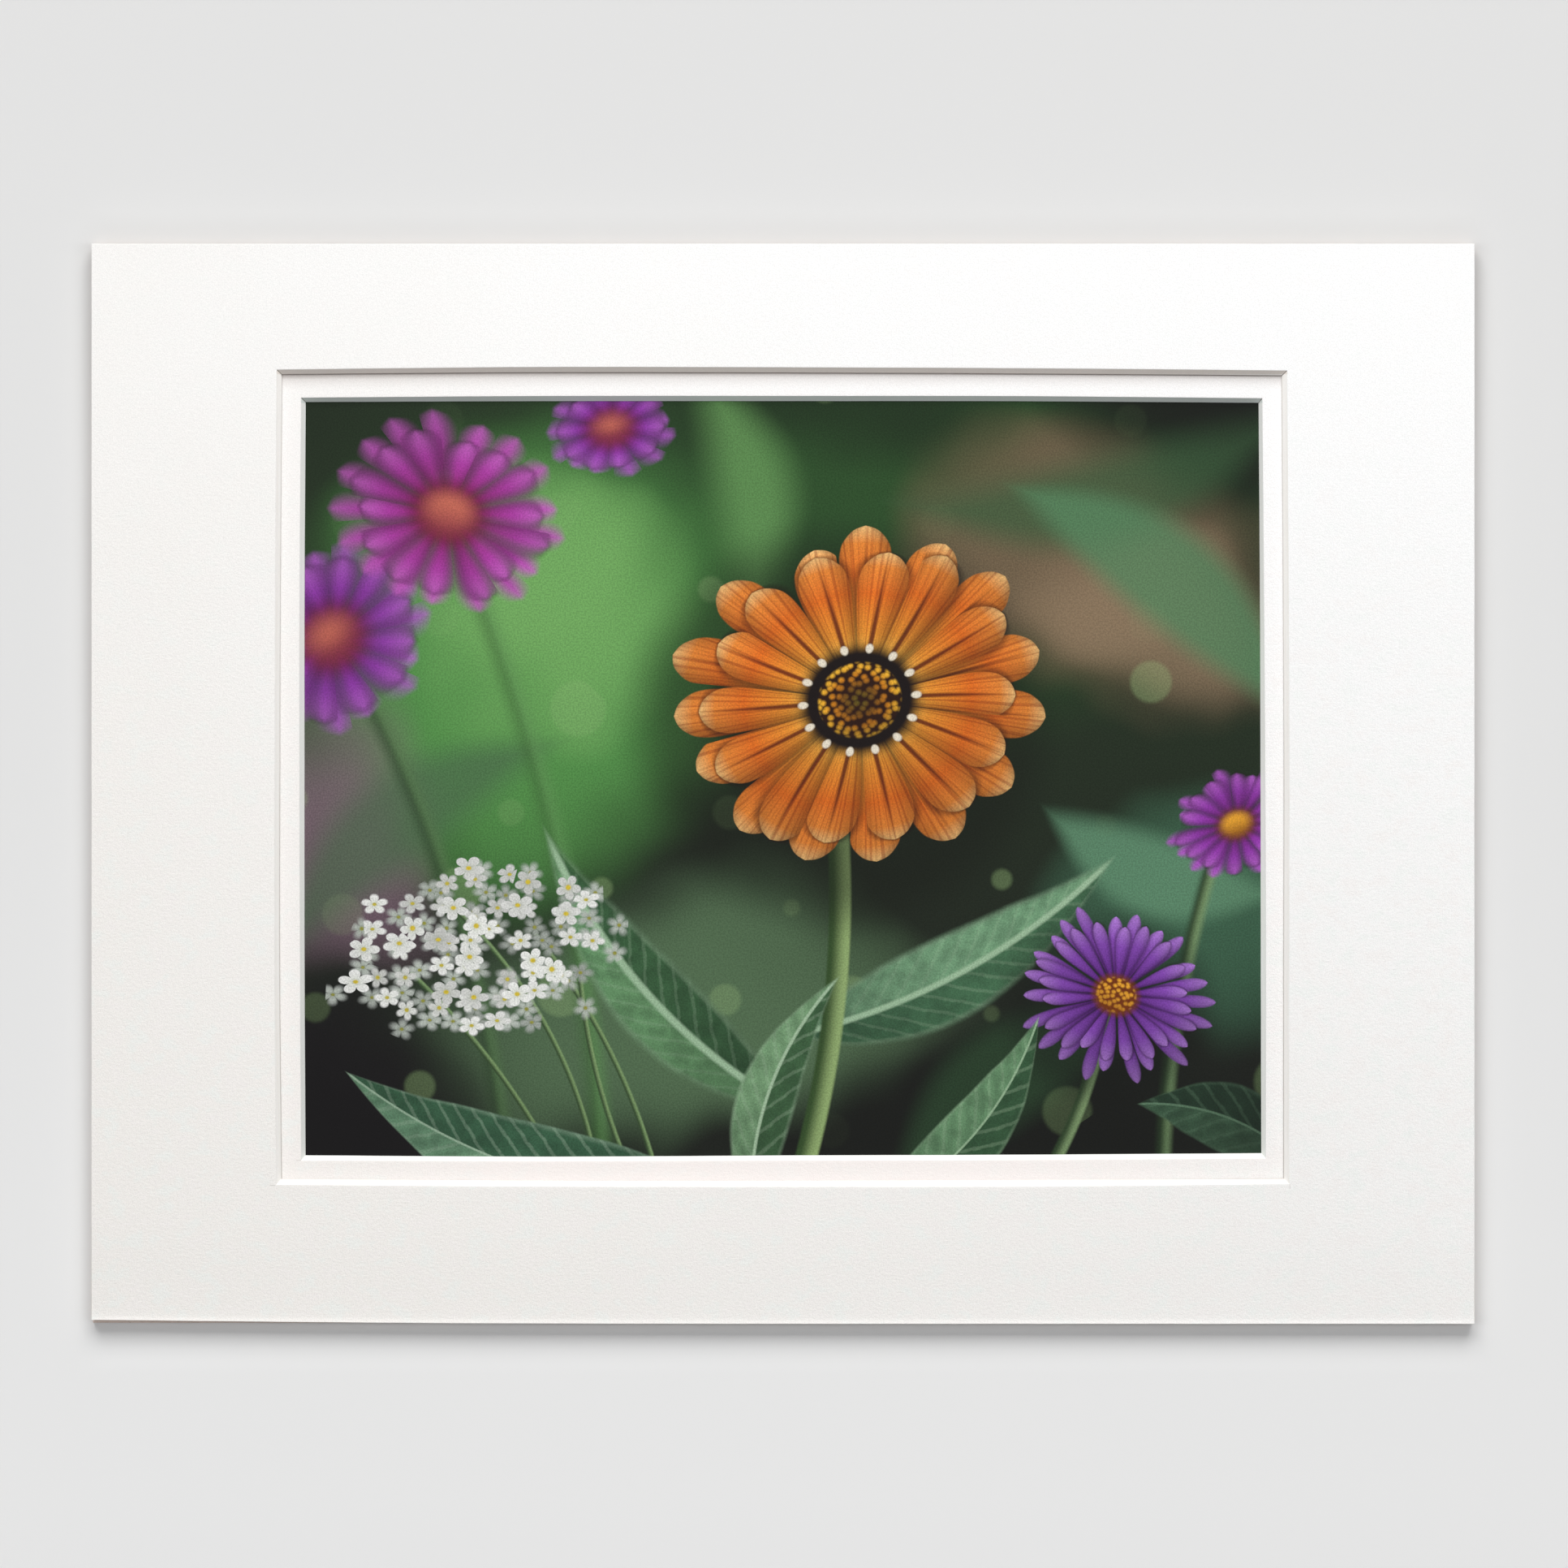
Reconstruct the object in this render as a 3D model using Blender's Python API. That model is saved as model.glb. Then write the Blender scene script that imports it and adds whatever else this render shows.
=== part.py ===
"""Double-matted photographic print, ready for framing.

A tan backing board, a paper print hinged to it, and two window mats with bevelled openings on top.
Metres, +Z up: the package lies on its back, the picture faces +Z and the picture's top points to +Y.
The origin is the centre of the package's outline, on the plane that it rests on.
"""

import bmesh
import bpy

MM = 0.001

# ---- driving dimensions, in millimetres ---------------------------------------------------------

WIDTH = 355.6  # outer width of the package (nominal 14 in)
HEIGHT = 277.7  # outer height of the package (nominal 11 in, cut slightly under)

BOARD_THICK = 1.50  # tan backing board
MAT_THICK = 1.45  # 4-ply mat board
PRINT_THICK = 0.25  # resin-coated photo paper
TAPE_THICK = 0.10  # adhesive strips, hinge tabs and hinge strips
AIR = 0.05  # left between sheets that lie on each other, which are themselves as thin as 0.1 mm

PRINT_SIZE = (254.0, 203.2)  # 10 x 8 in
PRINT_CENTRE = (-0.24, 1.57)

# The mats' lower edge was trimmed by hand: it runs up from the board's edge towards the left.
# Pairs of x and of how far the edge is above the board's lower edge.
LOWER_EDGE_RISE = [(-177.8, 1.03), (-138.0, 0.58), (-97.0, 0.21), (-30.0, 0.02), (177.8, 0.0)]

# Windows: left, right, bottom and top edges at the mat's face, and how far each bevel runs inwards
# from there to the mat's back.
TOP_WINDOW = {"left": -130.8, "right": 130.1, "bottom": -103.4, "top": 107.0}
TOP_BEVEL = {"left": 1.29, "right": 1.35, "bottom": 1.71, "top": 1.37}
BOTTOM_WINDOW = {"left": -124.4, "right": 124.0, "bottom": -96.95, "top": 99.75}
BOTTOM_BEVEL = {"left": 1.12, "right": 1.24, "bottom": 1.52, "top": 1.18}
BOTTOM_MAT_INSET = 0.12  # the lower mat's outline lies this far inside the upper one's

MAT_TAPE_WIDTH = 12.0
MAT_TAPE_INSET = 9.0  # from the package's outline to the strip's outer long edge
BOARD_TAPE_TOP_WIDTH = 8.0  # narrower than the others, to clear the hinges
HINGE_TAB = (25.0, 29.5)  # width and length of a tab, which bridges the print's top edge
HINGE_TAB_ON_PRINT = 14.0  # how much of it is stuck to the back of the print
HINGE_STRIP = (58.0, 14.0)  # cross strip over the tab's free end
HINGE_OFFSET = 72.0  # from the print's middle to each hinge

# ---- heights, from the back to the face -----------------------------------------------------------

Z_BOARD = 0.0
Z_TAB = Z_BOARD + BOARD_THICK + AIR
Z_PRINT = Z_TAB + TAPE_THICK + AIR
Z_STRIP = Z_PRINT
Z_BOTTOM_MAT = Z_PRINT + PRINT_THICK + AIR
Z_MAT_TAPE = Z_BOTTOM_MAT + MAT_THICK + AIR
Z_TOP_MAT = Z_MAT_TAPE + TAPE_THICK + AIR
Z_FACE = Z_TOP_MAT + MAT_THICK
BOARD_TAPE_THICK = Z_BOTTOM_MAT - BOARD_THICK - 2 * AIR  # foam-cored strip that fills the gap

# ---- materials ------------------------------------------------------------------------------------


def material(name, colour, roughness):
    mat = bpy.data.materials.new(name)
    mat.use_nodes = True
    shader = mat.node_tree.nodes["Principled BSDF"]
    shader.inputs["Base Color"].default_value = (*colour, 1.0)
    shader.inputs["Roughness"].default_value = roughness
    shader.inputs["Metallic"].default_value = 0.0
    mat.diffuse_color = (*colour, 1.0)
    return mat


# ---- building blocks ------------------------------------------------------------------------------


def add_object(name, mesh, mat, collection):
    mesh.materials.clear()
    if mat is not None:
        mesh.materials.append(mat)
    ob = bpy.data.objects.new(name, mesh)
    collection.objects.link(ob)
    return ob


def slab(name, x0, x1, y0, y1, z, thick, mat, collection, nick=0.0):
    """A flat rectangular sheet; nick bevels its four upright corners, as scissors or handling do."""
    bm = bmesh.new()
    bmesh.ops.create_cube(bm, size=1.0)
    bmesh.ops.scale(
        bm, vec=((x1 - x0) * MM, (y1 - y0) * MM, thick * MM), verts=bm.verts
    )
    bmesh.ops.translate(
        bm,
        vec=((x0 + x1) / 2 * MM, (y0 + y1) / 2 * MM, (z + thick / 2) * MM),
        verts=bm.verts,
    )
    if nick:
        upright = [
            e for e in bm.edges if abs(e.verts[0].co.z - e.verts[1].co.z) > 1e-7
        ]
        bmesh.ops.bevel(
            bm, geom=upright, offset=nick * MM, segments=3, profile=0.5, affect="EDGES"
        )
    bmesh.ops.recalc_face_normals(bm, faces=bm.faces)
    mesh = bpy.data.meshes.new(name)
    bm.to_mesh(mesh)
    bm.free()
    return add_object(name, mesh, mat, collection)


def mat_outline(inset):
    """The mat's outline, anticlockwise from its lower left corner, with the hand-trimmed lower edge."""
    half_w, half_h = WIDTH / 2 - inset, HEIGHT / 2 - inset
    points = []
    for x, rise in LOWER_EDGE_RISE:
        x = max(-half_w, min(half_w, x))
        points.append((x, -half_h + rise))
    points += [(half_w, half_h), (-half_w, half_h)]
    return points


def mat_blank(name, inset, z, mat, collection):
    """The uncut board: a filled flat outline, extruded to the board's thickness."""
    curve = bpy.data.curves.new(name + "_outline", "CURVE")
    curve.dimensions = "2D"
    curve.fill_mode = "BOTH"
    curve.extrude = MAT_THICK / 2 * MM
    points = mat_outline(inset)
    spline = curve.splines.new("POLY")
    spline.points.add(len(points) - 1)
    for point, (x, y) in zip(spline.points, points):
        point.co = (x * MM, y * MM, 0.0, 1.0)
    spline.use_cyclic_u = True
    guide = bpy.data.objects.new(name + "_outline", curve)
    collection.objects.link(guide)
    bpy.context.view_layer.update()
    mesh = bpy.data.meshes.new_from_object(
        guide.evaluated_get(bpy.context.evaluated_depsgraph_get())
    )
    bpy.data.objects.remove(guide, do_unlink=True)
    bpy.data.curves.remove(curve)
    bm = bmesh.new()
    bm.from_mesh(mesh)
    bmesh.ops.remove_doubles(bm, verts=bm.verts, dist=0.00001)
    bmesh.ops.recalc_face_normals(bm, faces=bm.faces)
    bmesh.ops.translate(bm, vec=(0, 0, (z + MAT_THICK / 2) * MM), verts=bm.verts)
    bm.to_mesh(mesh)
    bm.free()
    mesh.name = name
    return add_object(name, mesh, mat, collection)


def window_cutter(name, window, bevel, z, collection):
    """A block whose four sides lean by the blade's angle: wide at the mat's face, narrow at its back."""
    over = 1.0  # how far the block runs past both faces of the mat
    bm = bmesh.new()
    bmesh.ops.create_cube(bm, size=1.0)
    for v in bm.verts:
        top = v.co.z > 0
        level = MAT_THICK + over if top else -over
        run = level / MAT_THICK - 1.0  # 0 at the face, -1 at the back

        def side(low, high, at):
            edge, sign = (low, -1) if at < 0 else (high, 1)
            return window[edge] + sign * bevel[edge] * run

        v.co = (
            side("left", "right", v.co.x) * MM,
            side("bottom", "top", v.co.y) * MM,
            (z + level) * MM,
        )
    bmesh.ops.recalc_face_normals(bm, faces=bm.faces)
    mesh = bpy.data.meshes.new(name)
    bm.to_mesh(mesh)
    bm.free()
    cutter = add_object(name, mesh, None, collection)
    cutter.hide_render = True
    cutter.display_type = "WIRE"
    return cutter


def window_mat(name, inset, window, bevel, z, mat, parts, cutters):
    board = mat_blank(name, inset, z, mat, parts)
    cutter = window_cutter(name + "_cutter", window, bevel, z, cutters)
    cut = board.modifiers.new("window", "BOOLEAN")
    cut.operation = "DIFFERENCE"
    cut.object = cutter
    cut.solver = "EXACT"
    return board


def main():
    for ob in list(bpy.data.objects):
        bpy.data.objects.remove(ob, do_unlink=True)

    parts = bpy.data.collections.new("double_matted_print")
    cutters = bpy.data.collections.new("cutters")
    for collection in (parts, cutters):
        bpy.context.scene.collection.children.link(collection)

    mat_paper = material("mat_paper", (0.91, 0.90, 0.88), 0.85)
    mat_paper_inner = material("mat_paper_inner", (0.90, 0.89, 0.87), 0.85)
    print_paper = material("print_paper", (0.10, 0.16, 0.09), 0.45)
    board_tan = material("board_tan", (0.42, 0.31, 0.22), 0.9)
    tape_clear = material("tape_paper", (0.80, 0.76, 0.66), 0.6)
    hinge_linen = material("hinge_linen", (0.86, 0.84, 0.79), 0.9)

    half_w, half_h = WIDTH / 2, HEIGHT / 2

    # Backing board: full size, so its lower edge shows where the mats were trimmed short.
    slab(
        "backing_board", -half_w, half_w, -half_h, half_h, Z_BOARD, BOARD_THICK,
        board_tan, parts, nick=0.4,
    )

    # Print, held by two T-hinges at its top edge.
    pw, ph = PRINT_SIZE
    px, py = PRINT_CENTRE
    print_top = py + ph / 2
    slab(
        "photo_print", px - pw / 2, px + pw / 2, py - ph / 2, print_top, Z_PRINT,
        PRINT_THICK, print_paper, parts,
    )
    tab_w, tab_l = HINGE_TAB
    strip_w, strip_h = HINGE_STRIP
    tab_low = print_top - HINGE_TAB_ON_PRINT
    for word, sign in (("left", -1), ("right", 1)):
        cx = px + sign * HINGE_OFFSET
        slab(
            "hinge_tab_" + word, cx - tab_w / 2, cx + tab_w / 2, tab_low,
            tab_low + tab_l, Z_TAB, TAPE_THICK, hinge_linen, parts, nick=1.5,
        )
        strip_low = print_top + 3.0
        slab(
            "hinge_strip_" + word, cx - strip_w / 2, cx + strip_w / 2, strip_low,
            strip_low + strip_h, Z_STRIP, TAPE_THICK, hinge_linen, parts, nick=1.5,
        )

    # Adhesive strips between the bottom mat and the board, above and below the print.
    x_out = half_w - MAT_TAPE_INSET
    y_out = half_h - MAT_TAPE_INSET
    slab(
        "board_tape_top", -x_out, x_out, y_out - BOARD_TAPE_TOP_WIDTH, y_out,
        BOARD_THICK + AIR, BOARD_TAPE_THICK, tape_clear, parts,
    )
    slab(
        "board_tape_bottom", -x_out, x_out, -y_out, -y_out + MAT_TAPE_WIDTH,
        BOARD_THICK + AIR, BOARD_TAPE_THICK, tape_clear, parts,
    )

    # The two window mats, stuck together by four strips near their outline.
    window_mat(
        "bottom_mat", BOTTOM_MAT_INSET, BOTTOM_WINDOW, BOTTOM_BEVEL, Z_BOTTOM_MAT,
        mat_paper_inner, parts, cutters,
    )
    slab(
        "mat_tape_top", -x_out, x_out, y_out - MAT_TAPE_WIDTH, y_out, Z_MAT_TAPE,
        TAPE_THICK, tape_clear, parts,
    )
    slab(
        "mat_tape_bottom", -x_out, x_out, -y_out, -y_out + MAT_TAPE_WIDTH, Z_MAT_TAPE,
        TAPE_THICK, tape_clear, parts,
    )
    between = 4.0  # space left where the upright strips meet the long ones
    y_in = y_out - MAT_TAPE_WIDTH - between
    slab(
        "mat_tape_left", -x_out, -x_out + MAT_TAPE_WIDTH, -y_in, y_in, Z_MAT_TAPE,
        TAPE_THICK, tape_clear, parts,
    )
    slab(
        "mat_tape_right", x_out - MAT_TAPE_WIDTH, x_out, -y_in, y_in, Z_MAT_TAPE,
        TAPE_THICK, tape_clear, parts,
    )
    window_mat(
        "top_mat", 0.0, TOP_WINDOW, TOP_BEVEL, Z_TOP_MAT, mat_paper, parts, cutters
    )


main()
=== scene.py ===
"""Double-matted photo print, lying on its back: the looks.

Two bevelled window mats over a floral print on a tan board. Metres, +Z out of the picture.
"""

import math

import bmesh
import bpy
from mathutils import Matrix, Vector, noise


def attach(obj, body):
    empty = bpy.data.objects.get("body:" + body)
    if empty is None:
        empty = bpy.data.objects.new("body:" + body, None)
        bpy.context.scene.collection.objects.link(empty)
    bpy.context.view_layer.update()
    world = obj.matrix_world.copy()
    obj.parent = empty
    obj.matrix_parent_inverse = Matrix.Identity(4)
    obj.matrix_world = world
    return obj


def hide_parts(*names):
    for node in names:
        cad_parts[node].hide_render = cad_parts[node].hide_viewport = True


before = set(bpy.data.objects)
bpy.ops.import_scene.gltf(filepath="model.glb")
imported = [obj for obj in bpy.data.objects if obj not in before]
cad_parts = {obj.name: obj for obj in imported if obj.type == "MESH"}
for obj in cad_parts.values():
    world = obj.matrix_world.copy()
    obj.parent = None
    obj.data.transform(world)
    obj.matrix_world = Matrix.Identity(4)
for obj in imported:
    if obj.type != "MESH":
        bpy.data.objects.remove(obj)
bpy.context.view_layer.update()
scene = bpy.context.scene

MM = 0.001
FACE_Z = 5.10  # height of the mat's face, mm
CAMERA_UP = 1679.6  # from the mat's face to the camera, mm


# ======================================================================================
# Geometry helpers
# ======================================================================================


def seen(value, depth):
    """A distance from the view's middle that looks like value at the mat's face, when depth mm below it."""
    return value * (1.0 + depth / CAMERA_UP)


def smooth_table(values):
    """A smooth curve over 0..1 through evenly spaced values."""
    n = len(values) - 1

    def at(t):
        t = min(max(t, 0.0), 1.0) * n
        i = min(int(t), n - 1)
        f = t - i
        p1, p2 = values[i], values[i + 1]
        p0 = values[i - 1] if i else 2 * p1 - p2
        p3 = values[i + 2] if i + 2 <= n else 2 * p2 - p1
        return 0.5 * (
            2 * p1
            + (p2 - p0) * f
            + (2 * p0 - 5 * p1 + 4 * p2 - p3) * f * f
            + (3 * p1 - p0 - 3 * p2 + p3) * f**3
        )

    return at


def side_steps(count):
    """Parameters along one side, closer together near both corners."""
    steps = []
    for i in range(count):
        u = i / count
        steps.append(u - 0.55 * math.sin(2 * math.pi * u) / (2 * math.pi))
    return steps


MITRE_HALF = 0.12  # mm, half the width of the line where two cuts meet


def with_mitres(steps, side):
    near = MITRE_HALF / side
    return [0.0, near] + steps[1:] + [1.0 - near]


STEPS_X = with_mitres(side_steps(96), 255.0)
STEPS_Y = with_mitres(side_steps(76), 205.0)


class Loop:
    """Four sides, each a function of 0..1 giving the side's place: y for bottom and top (from the left),
    x for left and right (from the bottom)."""

    def __init__(self, left, right, bottom, top):
        self.sides = {"left": left, "right": right, "bottom": bottom, "top": top}

    def grown(self, by):
        """The same loop with each side moved outwards."""
        s = self.sides
        return Loop(
            lambda t: s["left"](t) - by,
            lambda t: s["right"](t) + by,
            lambda t: s["bottom"](t) - by,
            lambda t: s["top"](t) + by,
        )

    def points(self):
        s = self.sides
        bl = (s["left"](0), s["bottom"](0))
        br = (s["right"](0), s["bottom"](1))
        tr = (s["right"](1), s["top"](1))
        tl = (s["left"](1), s["top"](0))
        out = []
        for t in STEPS_X:
            out.append((bl[0] + (br[0] - bl[0]) * t, s["bottom"](t)))
        for t in STEPS_Y:
            out.append((s["right"](t), br[1] + (tr[1] - br[1]) * t))
        for t in STEPS_X:
            out.append((tr[0] + (tl[0] - tr[0]) * t, s["top"](1 - t)))
        for t in STEPS_Y:
            out.append((s["left"](1 - t), tl[1] + (bl[1] - tl[1]) * t))
        return out


def table_loop(left, right, bottom, top, depth=0.0):
    tables = [
        smooth_table([seen(v, depth) for v in values])
        for values in (left, right, bottom, top)
    ]
    return Loop(*tables)


def between(a, b, f):
    return [(p[0] + (q[0] - p[0]) * f, p[1] + (q[1] - p[1]) * f) for p, q in zip(a, b)]


def finish_mesh(name, bm, materials, node, angle=32.0):
    bmesh.ops.recalc_face_normals(bm, faces=bm.faces)
    mesh = bpy.data.meshes.new(name)
    bm.to_mesh(mesh)
    bm.free()
    for m in materials:
        mesh.materials.append(m)
    mesh.shade_smooth()
    mesh.set_sharp_from_angle(angle=math.radians(angle))
    ob = bpy.data.objects.new(name, mesh)
    scene.collection.objects.link(ob)
    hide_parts(node)
    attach(ob, "root")
    return ob


def lip(d):
    """How far the trimmed lower edge's face dips, mm, at a distance from the edge: the knife has left the
    edge itself standing a little proud."""
    if d < 1.5:
        t = min(max(d / 1.5, 0.0), 1.0)
        return 0.25 * t * (2 - t)
    t = min((d - 1.5) / 22.0, 1.0)
    return 0.25 * (1 - t * t * (3 - 2 * t))


def window_mat(name, node, outline, window, foot, z0, z1, materials, seed):
    """A window mat as one closed ring. Its section runs up the outer edge, over the face, down the bevel
    and back under. Materials: face paper, bevelled core, back paper, outer cut edge, mitre line."""
    FACE, CORE, BACK, EDGE, MITRE = 0, 1, 2, 3, 4
    o, w, f = outline.points(), window.points(), foot.points()
    rows = [
        (outline.grown(-0.10).points(), z0, EDGE),
        (outline.grown(-0.02).points(), z0 + 0.07, EDGE),
        (o, z0 + 0.20, EDGE),
        (o, z0 + 0.50, EDGE),
        (o, z1 - 0.50, EDGE),
        (o, z1 - 0.16, EDGE),
        (outline.grown(-0.012).points(), z1 - 0.07, FACE),
        (outline.grown(-0.05).points(), z1 - 0.018, FACE),
    ]
    for d in (0.13, 0.35, 0.65, 1.0, 1.5, 2.6, 4.5, 7.0, 10.0, 15.5):
        rows.append((outline.grown(-d).points(), z1, FACE))
    inner = rows[-1][0]
    w_out = [window.grown(d).points() for d in (0.035, 0.11, 0.6)]
    for k in (0.15, 0.5, 0.85):
        rows.append((between(inner, w_out[2], k), z1, FACE))
    rows += [
        (w_out[2], z1, FACE),
        (w_out[1], z1, FACE),
        (w_out[0], z1 - 0.012, FACE),
    ]
    bevel = len(rows)
    rows.append((w, z1 - 0.045, CORE))
    for k in (0.06, 0.25, 0.5, 0.75, 0.94):
        rows.append((between(w, f, k), z1 - 0.045 + (z0 + 0.03 - z1 + 0.045) * k, CORE))
    rows += [
        (f, z0 + 0.03, CORE),
        (foot.grown(0.03).points(), z0, BACK),
    ]
    last = foot.grown(0.6).points()
    rows.append((last, z0, BACK))
    for k in (0.1, 0.5, 0.9):
        rows.append((between(last, outline.grown(-0.5).points(), k), z0, BACK))

    lower = outline.sides["bottom"]
    bm = bmesh.new()
    grid = []
    for i, (points, z, kind) in enumerate(rows):
        ring = []
        for x, y in points:
            # a hand-guided blade wanders a little, and the cut edges are never dead straight
            wander = dip = 0.0
            if 2 <= i <= 7:
                wander = 0.030 * noise.noise(Vector((x * 0.11, y * 0.11, seed)))
            elif bevel - 2 <= i <= bevel + 7:
                wander = 0.022 * noise.noise(Vector((x * 0.09, y * 0.09, seed + 5.0)))
            if kind == FACE and z1 == FACE_Z:
                dip = lip(y - lower((x + 177.8) / 355.6))
            ring.append(bm.verts.new(((x + wander) * MM, (y + wander) * MM, (z - dip) * MM)))
        grid.append(ring)
    count = len(rows)
    around = len(grid[0])
    tops = (len(STEPS_X) + len(STEPS_Y), 2 * len(STEPS_X) + len(STEPS_Y))
    for i in range(count):
        a, b = grid[i], grid[(i + 1) % count]
        for j in range(around):
            k = (j + 1) % around
            face = bm.faces.new((a[j], a[k], b[k], b[j]))
            face.material_index = rows[i][2]
            if bevel <= i < bevel + 6 and (j in tops or j + 1 in tops):
                face.material_index = MITRE
    return finish_mesh(name, bm, materials, node)


def sheet_mesh(
    name,
    node,
    x0,
    x1,
    y0,
    y1,
    z0,
    z1,
    materials,
    nx=24,
    ny=18,
    round_edge=0.03,
    corner=0.3,
    fray=0.0,
    teeth=0.0,
    seed=1.0,
    front=0,
    side=0,
    back=0,
    uv=False,
):
    """A closed flat sheet with softened edges and corners. fray makes its outline wander like a torn edge,
    teeth gives its short ends a dispenser's zigzag."""
    r = min(round_edge, (z1 - z0) * 0.45)

    def put(x, y, inset):
        ix0, ix1, iy0, iy1 = x0 + inset, x1 - inset, y0 + inset, y1 - inset
        px, py = ix0 + (ix1 - ix0) * x, iy0 + (iy1 - iy0) * y
        cr = max(corner - inset, 0.0)
        cx = min(max(px, ix0 + cr), ix1 - cr)
        cy = min(max(py, iy0 + cr), iy1 - cr)
        dx, dy = px - cx, py - cy
        if dx and dy and cr > 0:
            reach = math.hypot(dx, dy)
            keep = max(abs(dx), abs(dy)) / reach
            dx, dy = dx * keep, dy * keep
        px, py = cx + dx, cy + dy
        if fray:
            edge = min(x, 1 - x, y, 1 - y)
            if edge < 1e-6:
                v = noise.noise(Vector((px * 0.9, py * 0.9, seed))) + 0.5 * noise.noise(
                    Vector((px * 3.1, py * 3.1, seed))
                )
                px += fray * v * (1 if x > 0.5 else -1)
                py += fray * v * (1 if y > 0.5 else -1)
        if teeth and (x < 1e-6 or x > 1 - 1e-6):
            px += teeth * (1 if round(y * ny) % 2 else -1) * (-1 if x > 0.5 else 1) * 0.5
        return px, py

    us = [i / nx for i in range(nx + 1)]
    vs = [j / ny for j in range(ny + 1)]
    if corner:  # more lines near the corners, so that they can be round
        near_x, near_y = corner / (x1 - x0), corner / (y1 - y0)
        extra = (0.0, 0.12, 0.3, 0.55, 1.0)
        us = sorted(
            {0.0, 1.0, *us[1:-1], *(near_x * e for e in extra), *(1 - near_x * e for e in extra)}
        )
        vs = sorted(
            {0.0, 1.0, *vs[1:-1], *(near_y * e for e in extra), *(1 - near_y * e for e in extra)}
        )
        if teeth:
            vs = [j / ny for j in range(ny + 1)]
    bm = bmesh.new()

    def grid(z, inset):
        return [[bm.verts.new((*(c * MM for c in put(u, v, inset)), z * MM)) for v in vs] for u in us]

    top, bottom = grid(z1, r), grid(z0, r)
    for cells, z, index in ((top, z1, front), (bottom, z0, back)):
        for i in range(len(us) - 1):
            for j in range(len(vs) - 1):
                f = bm.faces.new(
                    (cells[i][j], cells[i + 1][j], cells[i + 1][j + 1], cells[i][j + 1])
                )
                f.material_index = index

    def rim(cells):
        out = [cells[i][0] for i in range(len(us))]
        out += [cells[-1][j] for j in range(1, len(vs))]
        out += [cells[i][-1] for i in range(len(us) - 2, -1, -1)]
        out += [cells[0][j] for j in range(len(vs) - 2, 0, -1)]
        return out

    def rim_points(inset, z):
        uv_pairs = [(u, 0.0) for u in us]
        uv_pairs += [(1.0, v) for v in vs[1:]]
        uv_pairs += [(u, 1.0) for u in us[-2::-1]]
        uv_pairs += [(0.0, v) for v in vs[-2:0:-1]]
        return [bm.verts.new((*(c * MM for c in put(u, v, inset)), z * MM)) for u, v in uv_pairs]

    rings = [
        rim(top),
        rim_points(r * 0.3, z1 - r * 0.3),
        rim_points(0.0, z1 - r),
        rim_points(0.0, z0 + r),
        rim_points(r * 0.3, z0 + r * 0.3),
        rim(bottom),
    ]
    for a, b in zip(rings, rings[1:]):
        for j in range(len(a)):
            k = (j + 1) % len(a)
            f = bm.faces.new((a[j], a[k], b[k], b[j]))
            f.material_index = side
    if uv:  # the front takes most of the map, the back a small part, the rim a thin strip
        layer = bm.loops.layers.uv.new("OFBake")
        w, h = (x1 - x0) * MM, (y1 - y0) * MM
        for f in bm.faces:
            zs = [v.co.z for v in f.verts]
            flat = max(zs) - min(zs) < 1e-7
            for loop in f.loops:
                u = (loop.vert.co.x - x0 * MM) / w
                v = (loop.vert.co.y - y0 * MM) / h
                if flat and zs[0] > (z0 + z1) / 2 * MM:
                    loop[layer].uv = (0.004 + 0.992 * u, 0.004 + 0.792 * v)
                elif flat:
                    loop[layer].uv = (0.004 + 0.2 * u, 0.83 + 0.16 * v)
                else:
                    zz = (loop.vert.co.z / MM - z0) / (z1 - z0)
                    n = f.calc_center_median()
                    along = u if abs((n.y / MM - y0) / (y1 - y0) - 0.5) > 0.499 else v
                    loop[layer].uv = (0.25 + 0.7 * along, 0.85 + 0.02 * zz)
    return finish_mesh(name, bm, materials, node)


# ======================================================================================
# Shader helpers
# ======================================================================================


def linear(v):
    v = v / 255.0
    return v / 12.92 if v <= 0.04045 else ((v + 0.055) / 1.055) ** 2.4


def rgb(r, g, b):
    """A colour as a screen shows it, 0..255, made linear."""
    return (linear(r), linear(g), linear(b), 1.0)


BLACK = (0.0, 0.0, 0.0, 1.0)


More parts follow.
